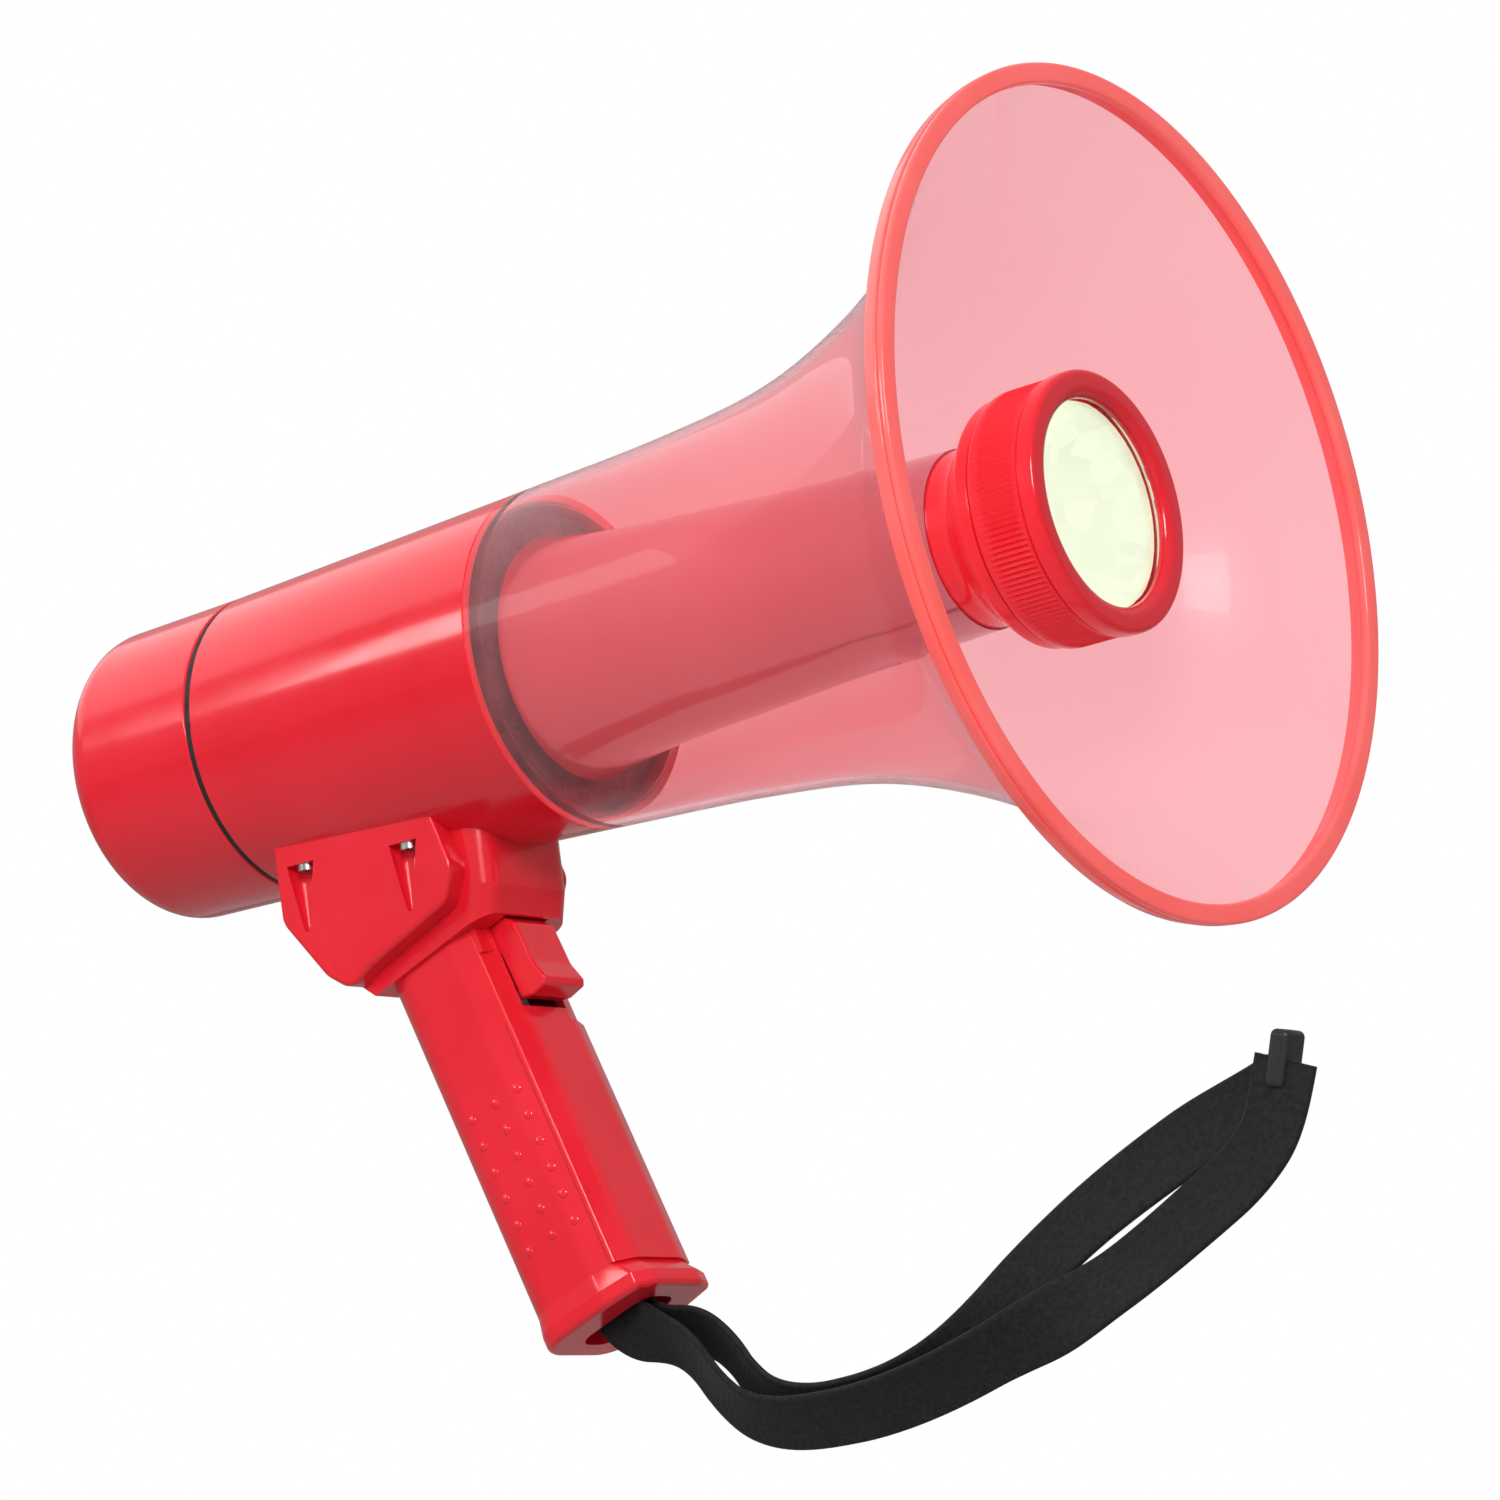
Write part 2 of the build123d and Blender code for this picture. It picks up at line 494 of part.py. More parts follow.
def make_battery():
    tube = Cylinder(10.5, 68) - Cylinder(CELL_R + 0.25, 70)
    keep("battery_tube", GRIP * Pos(CELL_X, 0, CELL_LOW + 31.5) * tube)
    cell = Cylinder(CELL_R, CELL_HIGH - CELL_LOW - 1.5)
    cell = fillet(cell.edges().filter_by(GeomType.CIRCLE), 0.8)
    cell = Pos(0, 0, (CELL_LOW + CELL_HIGH - 1.5) / 2) * cell
    cell += Pos(0, 0, CELL_HIGH - 0.75 - 0.4) * Cylinder(3.2, 2.3)
    keep("battery_cell", GRIP * Pos(CELL_X, 0, 0) * cell)
    keep("battery_contact", GRIP * Pos(CELL_X, 0, CELL_HIGH + 0.4) * Cylinder(6.0, 0.8))
    coil = Helix(pitch=1.1, height=2.0, radius=3.4)
    wire = sweep(Plane(coil @ 0, z_dir=coil % 0) * Circle(0.4), path=coil, is_frenet=True)
    keep("battery_spring", GRIP * Pos(CELL_X, 0, CELL_LOW - 2.5) * wire)


# ---- foot and wrist strap -----------------------------------------------------------------------------
BAR_X, BAR_Z, BAR_R = 0.5, -45.8, 1.5
FOOT_GROW = 0.6
FOOT_NOSE = 3.0           # the foot's lip sticks out this much further at its front
RECESS_FLOOR = -40.2      # seat of the cell's spring, inside the foot's spigot


def make_foot():
    top = Pos(0, 0, GRIP_BOTTOM) * grip_section(0)
    middle = Pos(0, 0, FOOT_BOTTOM + 4.0) * grip_section(FOOT_GROW, nose=FOOT_NOSE)
    skirt = loft([top, middle])
    sole = prism(grip_section(FOOT_GROW, nose=FOOT_NOSE), FOOT_BOTTOM, FOOT_BOTTOM + 4.0)
    sole = fillet(sole.edges().group_by(Axis.Z)[0], 1.6)
    spigot = prism(bore_section(WALL + 0.15), GRIP_BOTTOM, RECESS_FLOOR + 1.0)
    foot = skirt + sole + spigot
    foot -= upright(CELL_X, 0, RECESS_FLOOR, RECESS_FLOOR + 3, 11.0)
    for x, z in GRIP_SCREWS:
        foot -= cross_pin(x, z, 2.7, -16, 16)
    slot = RectangleRounded(23.5, 13.0, 5.0)
    foot -= Pos(0.5, 0, FOOT_BOTTOM - 1) * extrude(slot, amount=8.3)
    foot -= rod(BAR_X - 13.5, BAR_X + 13.5, BAR_R, z=BAR_Z)
    keep("foot_cap", GRIP * foot)
    keep("strap_bar", GRIP * rod(BAR_X - 13.5, BAR_X + 13.5, BAR_R, z=BAR_Z))


# Routes of the two bands of the strap's loop, row frame x and z: from the bar to the slider.
NEAR_ROUTE = [(15.8, -41.4), (19.2, -48.8), (28.5, -52.0), (37.0, -57.6), (44.5, -66.5), (54.0, -73.8),
              (68.0, -77.2), (88.0, -77.4), (118.0, -70.2), (147.0, -60.2), (171.0, -50.2), (192.0, -40.2),
              (203.0, -31.8), (207.6, -20.5)]
FAR_ROUTE = [(15.8, -41.4), (19.4, -49.0), (28.8, -51.4), (38.2, -52.8), (44.0, -59.5), (47.8, -68.5),
             (56.0, -75.2), (70.0, -77.6), (90.0, -76.3), (113.0, -69.0), (134.0, -55.5), (157.0, -43.2),
             (180.0, -33.4), (203.0, -25.2)]


def corner_radii(route):
    """The largest arcs the runs allow: 0.45 of the shorter run over the tangent of half the turn."""
    radii = []
    for before, here, after in zip(route, route[1:], route[2:]):
        run_in = Vector(here[0] - before[0], 0, here[1] - before[1])
        run_out = Vector(after[0] - here[0], 0, after[1] - here[1])
        turn = math.radians(run_in.get_angle(run_out))
        radii.append(0.45 * min(run_in.length, run_out.length) / math.tan(turn / 2))
    return radii


def make_band(name, route, y):
    radii = corner_radii(route)
    path = FilletPolyline(*[(x, y, z) for x, z in route], radius=radii)
    start = Plane(origin=path @ 0, x_dir=(0, 1, 0), z_dir=path % 0)
    band = sweep(start * Rectangle(STRAP_THICKNESS, STRAP_WIDTH), path=path)
    expected = STRAP_THICKNESS * STRAP_WIDTH * path.length
    print(name, "length", round(path.length, 1), "volume share", round(band.volume / expected, 3),
          "radii", [round(r, 1) for r in radii])
    keep(name, band)


def make_strap():
    make_band("strap_near_band", NEAR_ROUTE, -STRAP_OFFSET)
    make_band("strap_far_band", FAR_ROUTE, STRAP_OFFSET)
    slider = Box(5.0, 8.4, 13.0)
    slider = fillet(slider.edges(), 1.5)
    slider = Pos(206.0, 0, -20.0) * Rot(0, 18, 0) * slider
    keep("strap_slider", slider - nodes["strap_near_band"] - nodes["strap_far_band"])


# ---- saddle between grip and barrel ---------------------------------------------------------------------
PLATE_OUTLINE = [(-56.0, 90.0), (-55.5, 63.0), (-43.5, 47.5), (-36.5, 42.8), (-30.0, 47.0), (-4.5, 57.5),
                 (-1.0, 66.0), (-9.0, 90.0)]
CORE_OUTLINE = [(-52.0, 90.0), (-51.0, 62.0), (-40.0, 46.0), (-33.4, 40.8), (-1.0, 38.0), (4.8, 61.0),
                (4.8, 90.0)]


def core_front_edge(edge):
    """Whether an edge of the core runs up its front, at either side."""
    middle = edge.center()
    return middle.X > -2.0 and abs(middle.Y) > CORE_HALF_WIDTH - 0.1


def make_saddle():
    plate = softened(slab(PLATE_OUTLINE, PLATE_HALF_WIDTH, radii=[0, 6, 8, 5, 3, 6, 5, 0]), 1.2)
    core = slab(CORE_OUTLINE, CORE_HALF_WIDTH, radii=[0, 8, 8, 2, 0, 4, 0])
    core = fillet([edge for edge in core.edges() if core_front_edge(edge)], 6.0)
    saddle = (plate + core) & (GRIP * block((-60, 60), (-60, 60), (GRIP_TOP, 140)))
    saddle -= GRIP * block((-13.5, 12.5), (-12, 12), (GRIP_TOP - 1, 66))
    saddle -= GRIP * block((8, 20.8), (-8.3, 8.3), (GRIP_TOP - 1, 51.6))
    screws = []
    for x, y in SADDLE_SCREWS:
        skin = barrel_skin_z(x, y)
        top = skin - 3.2
        axis_y = math.copysign(22.0, y)
        saddle -= Pos(x, axis_y, top - 8.5) * Cone(1.15, 4.4, 17.0)
        saddle -= upright(x, y, top - 1, skin + 5, SHANK_R)
        head = upright(x, y, top - 1.7, top, 2.3)
        head -= block((x - 1.7, x + 1.7), (y - 0.35, y + 0.35), (top - 2, top - 1.0))
        head -= block((x - 0.35, x + 0.35), (y - 1.7, y + 1.7), (top - 2, top - 1.0))
        screws.append(head + upright(x, y, top, 84.8, SHANK_R))
    keep("saddle", saddle - barrel_body())
    keep("saddle_screws", Compound(children=screws))


# ---- build everything and write one file per node ---------------------------------------------------------
make_horn()
make_reflex()
make_torch()
make_barrel()
make_driver()
make_rear_cap()
make_microphone()
make_controls()
make_amplifier()
make_grip()
make_trigger()
make_battery()
make_foot()
make_strap()
make_saddle()

os.makedirs("parts", exist_ok=True)
for name, shape in nodes.items():
    export_step(shape, f"parts/{name}.step")
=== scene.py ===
import json
import math
import random

import bmesh
import bpy
from mathutils import Matrix, Vector


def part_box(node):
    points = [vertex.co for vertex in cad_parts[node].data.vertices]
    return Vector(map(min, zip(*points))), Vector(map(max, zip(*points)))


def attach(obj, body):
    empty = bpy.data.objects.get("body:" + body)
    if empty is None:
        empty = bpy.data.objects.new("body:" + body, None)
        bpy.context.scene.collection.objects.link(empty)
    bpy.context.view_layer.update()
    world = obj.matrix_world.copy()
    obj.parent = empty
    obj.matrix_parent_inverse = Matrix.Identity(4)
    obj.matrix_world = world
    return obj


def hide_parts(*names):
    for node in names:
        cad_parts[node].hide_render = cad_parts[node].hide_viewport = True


# Looks of the handheld megaphone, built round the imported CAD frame. Metres, in the CAD's row frame.
# Pieces round the horn are turned about the horn's axis: x is measured from the mouth plane.

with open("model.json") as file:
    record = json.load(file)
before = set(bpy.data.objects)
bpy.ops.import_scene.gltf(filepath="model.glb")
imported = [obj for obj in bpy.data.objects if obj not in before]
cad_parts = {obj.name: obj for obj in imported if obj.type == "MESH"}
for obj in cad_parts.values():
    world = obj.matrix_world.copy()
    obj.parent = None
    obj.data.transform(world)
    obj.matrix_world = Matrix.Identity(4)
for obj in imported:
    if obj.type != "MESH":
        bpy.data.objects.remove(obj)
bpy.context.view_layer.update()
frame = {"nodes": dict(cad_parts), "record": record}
MM = 0.001

RIM_LOW, RIM_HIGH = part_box("horn_rim")
MOUTH_X = RIM_HIGH.x
AXIS_Z = (RIM_LOW.z + RIM_HIGH.z) / 2
ROUND_STEPS = 192                       # segments round the horn's axis
RAKE = math.radians(20)                 # lean of the grip's foot


# ---- camera, light and stage ----------------------------------------------------------------------
CAMERA_PLACE = (0.8327, -1.0673, -0.1830)
CAMERA_RIGHT = (0.7932, 0.5952, -0.1289)
CAMERA_BACK = (0.5678, -0.7993, -0.1965)
LENS, SENSOR = 136.0, 36.0

# Low and high strengths of the background: as looked at, as mirrored by a gloss, as a light.
WHITE, REFLECTED_SKY, LIGHTING_SKY = (1.0, 1.0), (0.05, 0.45), (0.34, 0.52)
SKY_LOW, SKY_HIGH = -0.8, 0.7           # directions' Z where the strengths start and end

TARGET = (0.05, 0.0, 0.08)              # near the object's middle
FLOOR_HALF, FLOOR_DROP = 6.0, 0.30


def make_camera():
    data = bpy.data.cameras.new("camera")
    data.lens = LENS
    data.sensor_width = SENSOR
    data.clip_start = 0.05
    data.clip_end = 50.0
    camera = bpy.data.objects.new("camera", data)
    right = Vector(CAMERA_RIGHT).normalized()
    back = Vector(CAMERA_BACK)
    back = (back - back.dot(right) * right).normalized()
    up = back.cross(right)
    turn = Matrix((right, up, back)).transposed().to_4x4()
    camera.matrix_world = Matrix.Translation(CAMERA_PLACE) @ turn
    bpy.context.scene.collection.objects.link(camera)
    bpy.context.scene.camera = camera


def by_ray(tree, seen, gloss, rest):
    """One shader where the camera looks, straight or through glass, one in reflections, one for the rest."""
    path = tree.nodes.new("ShaderNodeLightPath")
    either = tree.nodes.new("ShaderNodeMath")
    either.operation = "MAXIMUM"
    tree.links.new(path.outputs["Is Camera Ray"], either.inputs[0])
    tree.links.new(path.outputs["Is Transmission Ray"], either.inputs[1])
    mirrored = tree.nodes.new("ShaderNodeMixShader")
    looked_at = tree.nodes.new("ShaderNodeMixShader")
    for mix, share, low, high in ((mirrored, path.outputs["Is Glossy Ray"], rest, gloss),
                                  (looked_at, either.outputs[0], mirrored, seen)):
        tree.links.new(share, mix.inputs[0])
        tree.links.new(low.outputs[0], mix.inputs[1])
        tree.links.new(high.outputs[0], mix.inputs[2])
    return looked_at.outputs[0]


def sky(tree, height, low, high):
    """A white background that rises from a low to a high strength."""
    light = tree.nodes.new("ShaderNodeBackground")
    ramp = tree.nodes.new("ShaderNodeMapRange")
    for key, value in (("From Min", SKY_LOW), ("From Max", SKY_HIGH), ("To Min", low), ("To Max", high)):
        ramp.inputs[key].default_value = value
    tree.links.new(height, ramp.inputs["Value"])
    tree.links.new(ramp.outputs[0], light.inputs["Strength"])
    light.inputs["Color"].default_value = (1, 1, 1, 1)
    return light


def make_world():
    """White behind the object; what lights it is brighter above than below."""
    world = bpy.data.worlds.new("studio")
    world.use_nodes = True
    tree = world.node_tree
    tree.nodes.clear()
    out = tree.nodes.new("ShaderNodeOutputWorld")
    spot = tree.nodes.new("ShaderNodeTexCoord")
    split = tree.nodes.new("ShaderNodeSeparateXYZ")
    tree.links.new(spot.outputs["Generated"], split.inputs[0])
    height = split.outputs["Z"]
    shaders = [sky(tree, height, low, high) for low, high in (WHITE, REFLECTED_SKY, LIGHTING_SKY)]
    tree.links.new(by_ray(tree, *shaders), out.inputs["Surface"])
    bpy.context.scene.world = world


def softbox(name, place, target, size, size_y, watts):
    """A rectangular lamp that isn't seen itself, neither straight nor through the clear horn."""
    data = bpy.data.lights.new(name, "AREA")
    data.shape = "RECTANGLE"
    data.size, data.size_y = size, size_y
    data.energy = watts
    lamp = bpy.data.objects.new(name, data)
    away = Vector(place) - Vector(target)
    lamp.matrix_world = Matrix.Translation(place) @ away.to_track_quat("Z", "Y").to_matrix().to_4x4()
    bpy.context.scene.collection.objects.link(lamp)
    lamp.visible_camera = False
    lamp.visible_transmission = False
    return lamp


def make_lights():
    softbox("key", (1.4, -1.5, 0.9), TARGET, 0.7, 0.7, 26.0)
    softbox("ceiling", (-0.9, 0.0, 1.25), TARGET, 1.5, 1.5, 6.0)
    softbox("window", (-0.62, -0.85, 0.56), (0.08, 0.0, 0.12), 0.4, 0.22, 1.9)
    for name, place, watts in (("fill", (0.2, -1.8, -0.1), 10.0), ("back_fill", (-0.7, 1.7, 0.4), 16.0)):
        softbox(name, place, TARGET, 1.6, 1.2, watts).visible_glossy = False


def make_floor():
    mesh = bpy.data.meshes.new("floor")
    corners = [(FLOOR_HALF * x, FLOOR_HALF * y, -FLOOR_DROP) for x, y in ((-1, -1), (1, -1), (1, 1), (-1, 1))]
    mesh.from_pydata(corners, [], [(0, 1, 2, 3)])
    floor = bpy.data.objects.new("floor", mesh)
    bpy.context.scene.collection.objects.link(floor)
    material = bpy.data.materials.new("pale_floor")
    material.use_nodes = True
    tree = material.node_tree
    shader = tree.nodes["Principled BSDF"]
    shader.inputs["Base Color"].default_value = (0.34, 0.34, 0.34, 1)
    shader.inputs["Roughness"].default_value = 0.8
    white = tree.nodes.new("ShaderNodeEmission")
    tree.links.new(by_ray(tree, white, shader, shader), tree.nodes["Material Output"].inputs["Surface"])
    mesh.materials.append(material)


make_camera()
make_world()
make_lights()
make_floor()
bpy.context.scene.view_settings.view_transform = "Standard"


# ---- materials --------------------------------------------------------------------------------------
class Surface:
    """A Principled material with short calls for the textures on it."""

    def __init__(self, name, colour, roughness, **values):
        self.material = bpy.data.materials.new(name)
        self.material.use_nodes = True
        self.tree = self.material.node_tree
        self.shader = self.tree.nodes["Principled BSDF"]
        self.shader.inputs["Base Color"].default_value = (*colour, 1)
        self.shader.inputs["Roughness"].default_value = roughness
        for key, value in values.items():
            self.shader.inputs[key.replace("_", " ")].default_value = value
        self.bump_under = None

    def node(self, kind, **inputs):
        made = self.tree.nodes.new(kind)
        for key, value in inputs.items():
            made.inputs[key].default_value = value
        return made

    def link(self, start, end):
        self.tree.links.new(start, end)

    def place(self, scale=1.0, stretch=(1, 1, 1)):
        """Object coordinates, which are row-frame metres, times a scale."""
        coordinates = self.node("ShaderNodeTexCoord")
        mapping = self.node("ShaderNodeMapping")
        mapping.inputs["Scale"].default_value = [scale * s for s in stretch]
        self.link(coordinates.outputs["Object"], mapping.inputs["Vector"])
        return mapping.outputs["Vector"]

    def noise(self, scale, detail=3.0, stretch=(1, 1, 1)):
        texture = self.node("ShaderNodeTexNoise", Scale=1.0, Detail=detail)
        self.link(self.place(scale, stretch), texture.inputs["Vector"])
        return texture.outputs["Fac"]

    def spread(self, value, low, high, start=0.3, end=0.7):
        """A value from start..end mapped to low..high."""
        ranged = self.node("ShaderNodeMapRange")
        for key, number in (("From Min", start), ("From Max", end), ("To Min", low), ("To Max", high)):
            ranged.inputs[key].default_value = number
        self.link(value, ranged.inputs["Value"])
        return ranged.outputs["Result"]

    def vary_colour(self, value, dark, light):
        ramp = self.node("ShaderNodeMix")
        ramp.data_type = "RGBA"
        ramp.inputs[6].default_value = (*dark, 1)
        ramp.inputs[7].default_value = (*light, 1)
        self.link(value, ramp.inputs[0])
        self.link(ramp.outputs[2], self.shader.inputs["Base Color"])

    def vary_roughness(self, value, low, high):
        self.link(self.spread(value, low, high), self.shader.inputs["Roughness"])

    def bump(self, height, distance, strength=1.0):
        """Adds a bump of that depth in metres on top of those before it."""
        node = self.node("ShaderNodeBump", Strength=strength, Distance=distance)
        self.link(height, node.inputs["Height"])
        if self.bump_under is not None:
            self.link(self.bump_under, node.inputs["Normal"])
        self.bump_under = node.outputs["Normal"]
        self.link(self.bump_under, self.shader.inputs["Normal"])


def red_gloss():
    s = Surface("red_gloss", (0.80, 0.012, 0.026), 0.16, Coat_Weight=0.2, Coat_Roughness=0.05)
    s.vary_colour(s.spread(s.noise(22), 0, 1), (0.75, 0.009, 0.021), (0.82, 0.014, 0.031))
    s.vary_roughness(s.noise(90, 4), 0.13, 0.20)
    s.bump(s.noise(120, 2), 0.000015)
    return s.material


def satin_red_painted_shade():
    """The reflex cup: the body's red plastic with a satin gloss, its colour darkened to about half the body's
    as painted shade for the shade inside the horn.
    """
    s = Surface("satin_red_painted_shade", (0.40, 0.018, 0.045), 0.30, Specular_IOR_Level=0.9, Coat_Weight=1.0,
                Coat_IOR=2.4, Coat_Roughness=0.11)
    s.vary_colour(s.spread(s.noise(30), 0, 1), (0.37, 0.014, 0.036), (0.43, 0.024, 0.052))
    s.vary_roughness(s.noise(60, 3, (0.2, 1, 1)), 0.26, 0.36)
    return s.material


def clear_red():
    """Red acrylic with a trace of haze: a thin wall hardly bends light, and its sheen is soft."""
    s = Surface("clear_red", (0.95, 0.475, 0.505), 0.02, Transmission_Weight=0.94, IOR=1.12,
                Coat_Weight=0.35, Coat_IOR=1.35, Coat_Roughness=0.3)
    s.vary_colour(s.spread(s.noise(9), 0, 1), (0.945, 0.455, 0.49), (0.955, 0.495, 0.525))
    return s.material


def rim_red():
    """The same acrylic where it is thick; its glow is painted light, an even coral emission standing in for
    light gathering in the thick rim.
    """
    s = Surface("rim_red", (0.94, 0.12, 0.11), 0.14, IOR=1.4, Coat_Weight=0.2, Emission_Strength=0.22)
    s.shader.inputs["Emission Color"].default_value = (1.0, 0.14, 0.13, 1)
    s.vary_colour(s.spread(s.noise(30), 0, 1), (0.93, 0.10, 0.09), (0.95, 0.15, 0.14))
    return s.material


def dark_plate():
    s = Surface("dark_plate", (0.11, 0.07, 0.07), 0.35)
    s.vary_colour(s.spread(s.noise(120, 4), 0, 1), (0.065, 0.04, 0.04), (0.16, 0.11, 0.11))
    s.vary_roughness(s.noise(200, 3), 0.22, 0.42)
    return s.material


def white_plastic():
    s = Surface("white_plastic", (0.78, 0.72, 0.70), 0.35)
    s.vary_roughness(s.noise(150, 3), 0.3, 0.45)
    s.bump(s.noise(600, 2), 0.00002)
    return s.material


def black_rubber():
    s = Surface("black_rubber", (0.012, 0.012, 0.013), 0.6)
    s.vary_roughness(s.noise(300, 3), 0.5, 0.75)
    s.bump(s.noise(900, 3), 0.00004)
    return s.material


def black_plastic():
    s = Surface("black_plastic", (0.016, 0.016, 0.018), 0.38)
    s.vary_roughness(s.noise(200, 3), 0.3, 0.5)
    s.bump(s.noise(1400, 2), 0.00003)
    return s.material


def strap_webbing():
    """Black nylon: fine cross ribs with threads along the band."""
    s = Surface("strap_webbing", (0.010, 0.010, 0.010), 0.75, Sheen_Weight=0.06, Sheen_Roughness=0.4,
                Specular_IOR_Level=0.3)
    s.vary_colour(s.spread(s.noise(900, 3), 0, 1), (0.006, 0.006, 0.006), (0.016, 0.016, 0.016))
    uv = s.node("ShaderNodeTexCoord").outputs["UV"]
    waves = []
    for axis, pitch in (("X", 0.0007), ("Y", 0.0006)):
        wave = s.node("ShaderNodeTexWave", Scale=0.1 / pitch)
        wave.wave_type = "BANDS"
        wave.bands_direction = axis
        s.link(uv, wave.inputs["Vector"])
        waves.append(wave.outputs["Fac"])
    weave = s.node("ShaderNodeMath")
    weave.operation = "MULTIPLY"
    s.link(waves[0], weave.inputs[0])
    s.link(waves[1], weave.inputs[1])
    s.bump(weave.outputs[0], 0.00008)
    return s.material


def steel():
    s = Surface("steel", (0.62, 0.61, 0.58), 0.28, Metallic=1.0)
    s.vary_roughness(s.noise(700, 3), 0.2, 0.4)
    return s.material


def plain_metal(name, colour, roughness):
    s = Surface(name, colour, roughness, Metallic=1.0)
    s.vary_roughness(s.noise(400, 3), roughness * 0.8, roughness * 1.4)
    return s.material


def lens_clear():
    s = Surface("lens_clear", (0.97, 0.99, 0.93), 0.02, Transmission_Weight=1.0, IOR=1.49)
    s.bump(s.noise(60, 1), 0.00002)
    return s.material


def glowing(name, colour, strength):
    """The reflector and LED: a pale glow, uneven from cell to cell like facets. On the reflector, which is no
    lamp, the glow is painted light and its unevenness a painted reflection in the facets; the LED's glow is
    its own light.
    """
    s = Surface(name, (0.45, 0.45, 0.42), 0.2, Emission_Strength=strength)
    cells = s.node("ShaderNodeTexVoronoi", Scale=1.0)
    s.link(s.place(170), cells.inputs["Vector"])
    grey = s.node("ShaderNodeSeparateColor")
    s.link(cells.outputs["Color"], grey.inputs[0])
    ramp = s.node("ShaderNodeMix")
    ramp.data_type = "RGBA"
    ramp.inputs[6].default_value = (*[c * 0.86 for c in colour], 1)
    ramp.inputs[7].default_value = (*colour, 1)
    s.link(grey.outputs[0], ramp.inputs[0])
    s.link(ramp.outputs[2], s.shader.inputs["Emission Color"])
    return s.material


def circuit_green():
    s = Surface("circuit_green", (0.01, 0.10, 0.04), 0.3)
    s.vary_colour(s.spread(s.noise(500, 4), 0, 1), (0.008, 0.07, 0.03), (0.02, 0.15, 0.06))
    return s.material


def tinted(name, colour, roughness):
    s = Surface(name, colour, roughness)
    s.vary_roughness(s.noise(300, 3), roughness * 0.8, roughness * 1.3)
    s.bump(s.noise(800, 2), 0.00002)
    return s.material


MATERIALS = {
    "red_gloss": red_gloss(),
    "satin_red_painted_shade": satin_red_painted_shade(),
    "clear_red": clear_red(),
    "rim_red": rim_red(),
    "dark_plate": dark_plate(),
    "white_plastic": white_plastic(),
    "black_rubber": black_rubber(),
    "black_plastic": black_plastic(),
    "strap_webbing": strap_webbing(),
    "steel": steel(),
    "clear_lens": lens_clear(),
    # Painted light: the reflector is no lamp, so its glow and the changes in it from cell to cell are
    # painted.
    "mirror_coat": glowing("mirror_coat", (0.80, 0.86, 0.66), 0.85),
    "led_yellow": glowing("led_yellow", (1.0, 0.97, 0.75), 1.1),
    "ferrite": tinted("ferrite", (0.03, 0.03, 0.033), 0.6),
    "copper": plain_metal("copper", (0.80, 0.38, 0.22), 0.35),
    "film": tinted("film", (0.65, 0.58, 0.45), 0.4),
    "aluminium": plain_metal("aluminium", (0.80, 0.81, 0.82), 0.35),
    "circuit_green": circuit_green(),
    "cell_sleeve": tinted("cell_sleeve", (0.03, 0.10, 0.38), 0.3),
    "contact_brass": plain_metal("contact_brass", (0.78, 0.62, 0.28), 0.3),
}
# The reflex cup's look is its slot's red, darkened with painted shade.
LOOKS = {"reflex_cup": "satin_red_painted_shade"}     # nodes whose look isn't their slot's


def dress_cad_nodes():
    """Every CAD node that stays gets its slot's material, or the one named in LOOKS, and smooth shading."""
    slots = {row["node"]: row["material_slot"] for row in frame["record"]["subparts"]}
    for name, node in frame["nodes"].items():
        node.data.materials.clear()
        node.data.materials.append(MATERIALS[LOOKS.get(name, slots[name])])
        node.data.shade_smooth()


# ---- mesh helpers -----------------------------------------------------------------------------------
def new_piece(name, vertices, faces, slot, body="root", replaces=()):
    """A mesh piece with the material of its slot."""
    mesh = bpy.data.meshes.new(name)
    mesh.from_pydata([tuple(v) for v in vertices], [], faces)
    mesh.materials.append(MATERIALS[slot])
    piece = bpy.data.objects.new(name, mesh)
    bpy.context.scene.collection.objects.link(piece)
    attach(piece, body)
    if replaces:
        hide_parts(*replaces)
    return piece


def smooth(piece, angle=35):
    bpy.ops.object.select_all(action="DESELECT")
    bpy.context.view_layer.objects.active = piece
    piece.select_set(True)
    bpy.ops.object.shade_smooth_by_angle(angle=math.radians(angle))


def through(points, per=12):
    """Points on a smooth curve through the given ones."""
    ends = [Vector(p) for p in points]
    ends = [2 * ends[0] - ends[1]] + ends + [2 * ends[-1] - ends[-2]]
    made = []
    for p0, p1, p2, p3 in zip(ends, ends[1:], ends[2:], ends[3:]):
        for i in range(per):
            t = i / per
            made.append(0.5 * (2 * p1 + (p2 - p0) * t + (2 * p0 - 5 * p1 + 4 * p2 - p3) * t * t
                               + (3 * p1 - p0 - 3 * p2 + p3) * t * t * t))
    return [tuple(p) for p in made] + [tuple(ends[-2])]


def wall_inside(outside, wall):
    """The line one wall's thickness inside a profile."""
    made = []
    for i, (x, r) in enumerate(outside):
        x0, r0 = outside[max(i - 1, 0)]
        x1, r1 = outside[min(i + 1, len(outside) - 1)]
        span = math.hypot(x1 - x0, r1 - r0)
        made.append((x + wall * (r1 - r0) / span, r - wall * (x1 - x0) / span))
    return made


def rounded(corners, per=5):
    """A closed profile from (x, radius, rounding) corners."""
    made = []
    for i, (x, r, rounding) in enumerate(corners):
        here = Vector((x, r))
        before = Vector(corners[i - 1][:2]) - here
        after = Vector(corners[(i + 1) % len(corners)][:2]) - here
        if not rounding:
            made.append((x, r))
            continue
        start, end = here + before.normalized() * rounding, here + after.normalized() * rounding
        for k in range(per + 1):
            t = k / per
            made.append(tuple(start * (1 - t) ** 2 + here * 2 * t * (1 - t) + end * t * t))
    return made


def horn_point(x, r, angle):
    """A point at x from the mouth and radius r, in mm, round the horn's axis."""
    return (MOUTH_X + x * MM, r * MM * math.cos(angle), AXIS_Z + r * MM * math.sin(angle))


